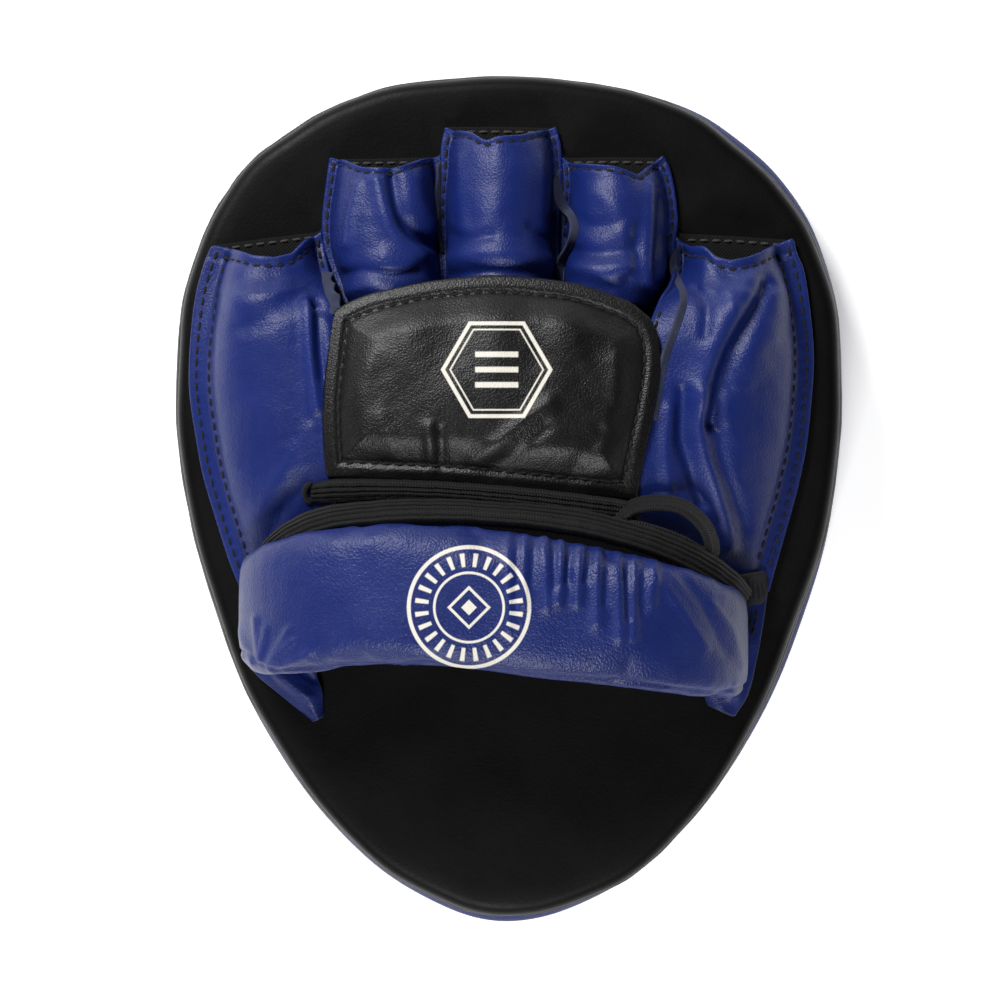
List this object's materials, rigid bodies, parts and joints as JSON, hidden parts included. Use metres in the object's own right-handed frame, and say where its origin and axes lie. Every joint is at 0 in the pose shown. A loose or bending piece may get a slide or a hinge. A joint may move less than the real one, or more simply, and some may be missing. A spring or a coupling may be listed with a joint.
{
  "type": "focus mitt",
  "caption": "Boxing focus mitt: an egg-shaped padded target with a fingerless leather glove, a padded knuckle hood, ribbed elastics and a padded wrist cuff on its back.",
  "frame": {"origin": "under the middle of the target, on the striking face it lies on", "axes": "+Z out of the back through the glove, +Y towards the fingertips, +X to the right as the wearer's glove side is seen with the fingers up"},
  "size_m": [0.202, 0.256, 0.102],
  "materials": {
    "blue_leather": "satin",
    "black_leather": "satin",
    "lining": "matte",
    "raw_edge": "matte",
    "elastic": "matte",
    "foam": "matte",
    "board": "matte"
  },
  "bodies": {
    "pad": {"strike_cover": "blue_leather", "side_gusset": "black_leather", "back_cover": "black_leather", "strike_foam": "foam", "core_foam": "foam", "stiffener_board": "board", "back_foam": "foam", "palm_lining": "lining", "left_outer_stall": "blue_leather", "left_finger_stall": "blue_leather", "middle_finger_stall": "blue_leather", "right_finger_stall": "blue_leather", "right_outer_stall": "blue_leather", "left_outer_lining": "lining", "left_finger_lining": "lining", "middle_finger_lining": "lining", "right_finger_lining": "lining", "right_outer_lining": "lining", "seam_strip_1": "raw_edge", "seam_strip_2": "raw_edge", "seam_strip_3": "raw_edge", "seam_strip_4": "raw_edge", "elastic_loop": "elastic", "left_tail": "blue_leather", "right_tail": "blue_leather", "left_anchor": "blue_leather", "right_anchor": "blue_leather", "right_bartack": "elastic"},
    "hood": {"knuckle_panel": "black_leather", "knuckle_foam": "foam", "knuckle_lining": "lining", "hem_elastic": "elastic"},
    "cuff": {"cuff_cover": "blue_leather", "cuff_foam": "foam", "cuff_lining": "lining", "wrist_elastic": "elastic"}
  },
  "joints": [
    {"name": "cuff_tilt", "type": "hinge", "parent": "pad", "child": "cuff", "pos_m": [-0.0045, -0.038, 0.057], "axis": [1, 0, 0], "range_deg": [0, 25], "stiffness_Nm_per_rad": 0.6},
    {"name": "hood_lift", "type": "hinge", "parent": "pad", "child": "hood", "pos_m": [-0.006, 0.065, 0.07], "axis": [-1, 0, 0], "range_deg": [0, 5], "stiffness_Nm_per_rad": 0.8}
  ]
}
